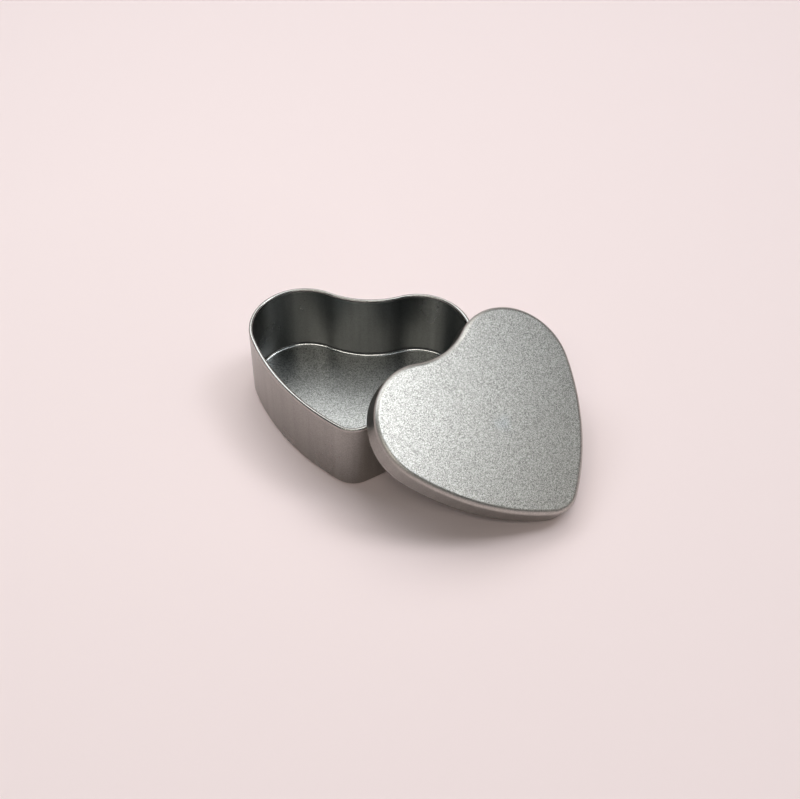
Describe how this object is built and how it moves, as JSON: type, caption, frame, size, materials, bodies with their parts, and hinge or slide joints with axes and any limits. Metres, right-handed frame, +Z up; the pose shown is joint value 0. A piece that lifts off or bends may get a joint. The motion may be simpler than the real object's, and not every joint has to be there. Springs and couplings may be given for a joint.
{
  "type": "heart-shaped tin",
  "caption": "Heart-shaped drawn tin for keepsakes: an open cup with a curled rim, and a slip-on lid with a curled skirt that leans on the cup.",
  "frame": {"origin": "on the table under the cup, at the middle of its heart outline's width and length", "axes": "+Z up, +Y from the heart's tip towards its notch, +X to the right as seen from the tip's side"},
  "size_m": [0.0987, 0.0705, 0.0333],
  "materials": {
    "cup_tinplate": "bare matte tinplate, fine grain, drawn walls smoother than the floor",
    "lid_tinplate": "bare matte tinplate with a fine sparkling grain on the top and smoother bent edges"
  },
  "bodies": {
    "cup": {"base_cup": "cup_tinplate"},
    "lid": {"lid": "lid_tinplate"}
  },
  "joints": [
    {"name": "lid_lift", "type": "slide", "parent": "cup", "child": "lid", "axis": [0, 0, 1], "range_m": [0, 0.04]}
  ]
}
